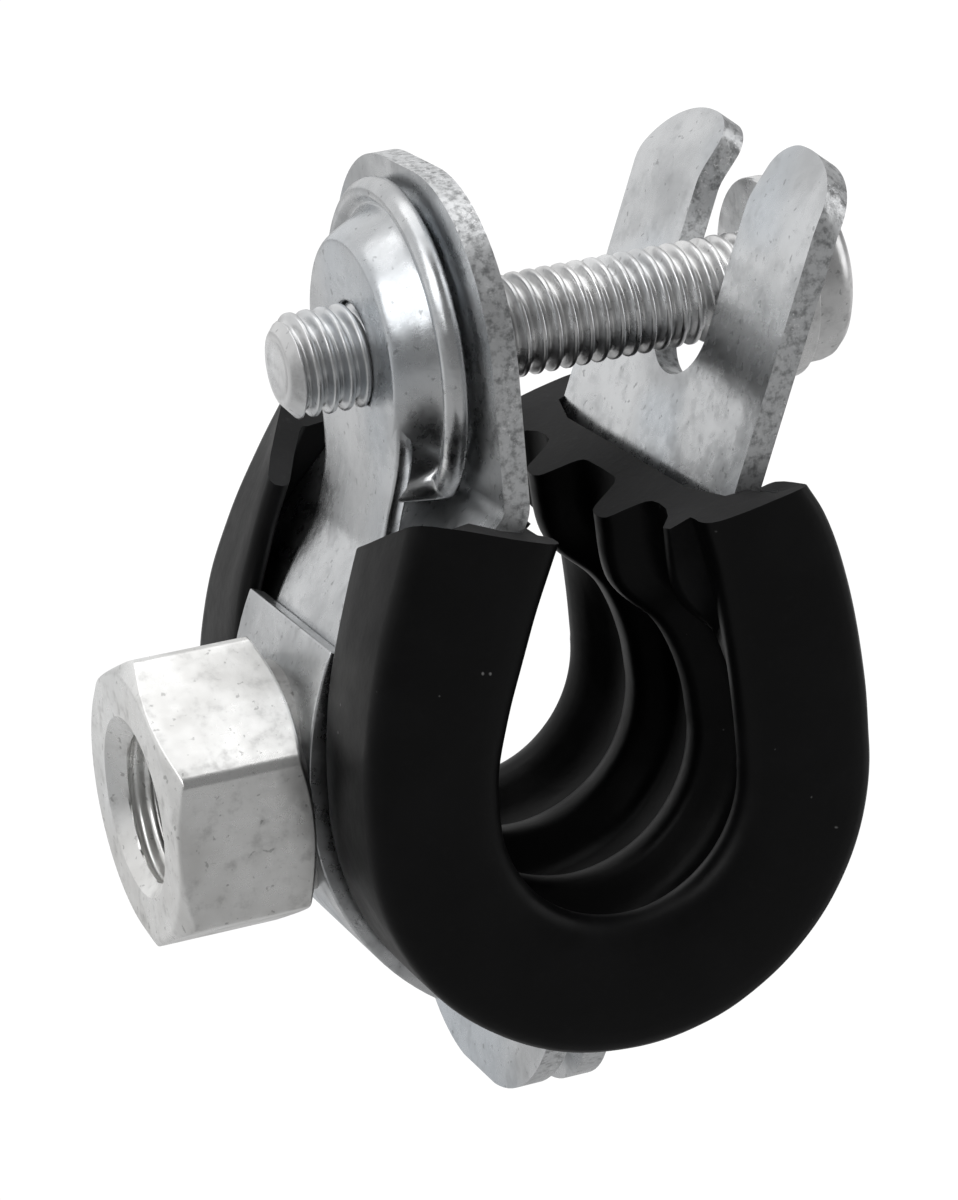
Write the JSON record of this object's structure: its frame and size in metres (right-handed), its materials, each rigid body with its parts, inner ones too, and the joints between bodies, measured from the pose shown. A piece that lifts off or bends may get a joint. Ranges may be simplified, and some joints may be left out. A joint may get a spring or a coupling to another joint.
{
  "type": "hinged pipe clamp",
  "caption": "Rubber-lined two-part pipe clamp with a hinge, a slotted fork closed by a screw through a sprung nut plate, and a threaded nut for a hanging rod.",
  "frame": {"origin": "centre of the pipe, in the middle of the band's width", "axes": "+Y along the pipe, +Z from the pipe towards the locking screw, -X out of the connection nut"},
  "size_m": [0.0373, 0.025, 0.0457],
  "materials": {
    "plated_sheet": "bright zinc plated sheet, lightly stained",
    "plated_nut": "zinc plated, turned and drawn faces",
    "weld_metal": "plated over rough weld",
    "plated_pressing": "bright zinc plated pressing",
    "plated_screw": "zinc plated rolled thread",
    "liner_rubber": "matte black extruded rubber, cut ends slightly lighter"
  },
  "bodies": {
    "fixed_half": {"fixed_band": "plated_sheet", "nut_bracket": "plated_sheet", "connection_nut": "plated_nut", "nut_weld": "weld_metal", "bracket_welds": "weld_metal", "screw_plate": "plated_pressing", "liner_fixed": "liner_rubber"},
    "moving_half": {"moving_band": "plated_sheet", "liner_moving": "liner_rubber"},
    "screw_washer": {"washer": "plated_screw"},
    "screw": {"locking_screw": "plated_screw"}
  },
  "joints": [
    {"name": "screw_travel", "type": "slide", "parent": "fixed_half", "child": "screw_washer", "axis": [-1, 0, 0], "range_m": [-0.0013, 0.0043]},
    {"name": "screw_turn", "type": "hinge", "parent": "screw_washer", "child": "screw", "pos_m": [0, 0, 0.0197], "axis": [-1, 0, 0], "range_deg": [-591, 1941]},
    {"name": "half_close", "type": "hinge", "parent": "fixed_half", "child": "moving_half", "pos_m": [-0.0017, 0, -0.0119], "axis": [0, -1, 0], "range_deg": [-2.4, 7.7]}
  ],
  "couplings": [
    {"joint": "screw_turn", "follows": "screw_travel", "rad_per_m": 7854},
    {"joint": "half_close", "follows": "screw_travel", "rad_per_m": 31}
  ]
}
